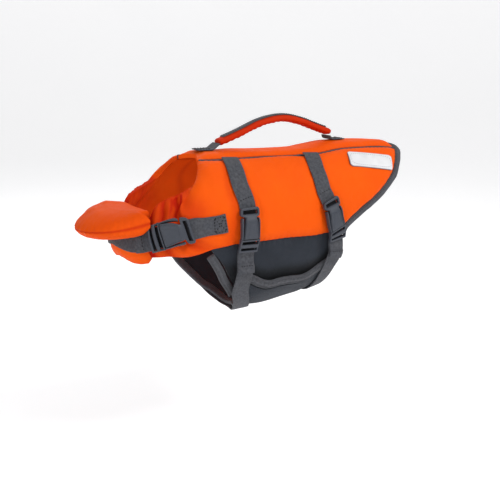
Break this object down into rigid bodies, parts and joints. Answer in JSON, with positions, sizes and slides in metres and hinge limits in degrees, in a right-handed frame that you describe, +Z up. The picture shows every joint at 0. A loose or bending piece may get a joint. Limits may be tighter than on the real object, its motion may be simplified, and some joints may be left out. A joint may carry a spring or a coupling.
{
  "type": "dog life jacket",
  "caption": "Dog life jacket with foam back and sides, a chin float, a wrapped belly panel, buckled girth and neck straps and a grab handle.",
  "frame": {"origin": "where the wearer's back carries the jacket: the inner face of the back panel, on its centre line", "axes": "+X towards the tail, +Y to the wearer's right, +Z up, standing on four legs"},
  "size_m": [0.4074, 0.1543, 0.2179],
  "materials": {
    "foam_orange": "coated woven nylon over closed-cell foam",
    "neoprene_slate": "knit-faced neoprene, matt",
    "binding_grey": "ribbed binding tape, matt",
    "webbing_grey": "woven webbing, matt",
    "buckle_plastic": "moulded, satin",
    "label_white": "smooth woven patch"
  },
  "bodies": {
    "root": {"back_panel": "foam_orange", "side_panel_left": "foam_orange", "side_panel_right": "foam_orange", "piping_left": "binding_grey", "piping_right": "binding_grey", "chest_panel": "foam_orange", "flap_left": "neoprene_slate", "belly_panel": "neoprene_slate", "rear_binding": "binding_grey", "flap_binding_front": "binding_grey", "flap_binding_rear": "binding_grey", "belly_binding_front": "binding_grey", "belly_binding_rear": "binding_grey", "belly_binding_top": "binding_grey", "front_strap_upper": "webbing_grey", "front_strap_lower": "webbing_grey", "front_strap_tail": "webbing_grey", "front_strap_buckle_socket": "buckle_plastic", "front_strap_buckle_clip": "buckle_plastic", "rear_strap_upper": "webbing_grey", "rear_strap_lower": "webbing_grey", "rear_strap_tail": "webbing_grey", "rear_strap_buckle_socket": "buckle_plastic", "rear_strap_buckle_clip": "buckle_plastic", "neck_strap_upper": "webbing_grey", "neck_strap_lower": "webbing_grey", "neck_strap_tail": "webbing_grey", "neck_strap_buckle_socket": "buckle_plastic", "neck_strap_buckle_clip": "buckle_plastic", "chin_float": "foam_orange", "handle_grip": "foam_orange", "handle_strip": "webbing_grey", "handle_webbing_front": "webbing_grey", "handle_webbing_rear": "webbing_grey", "label": "label_white"}
  },
  "joints": []
}
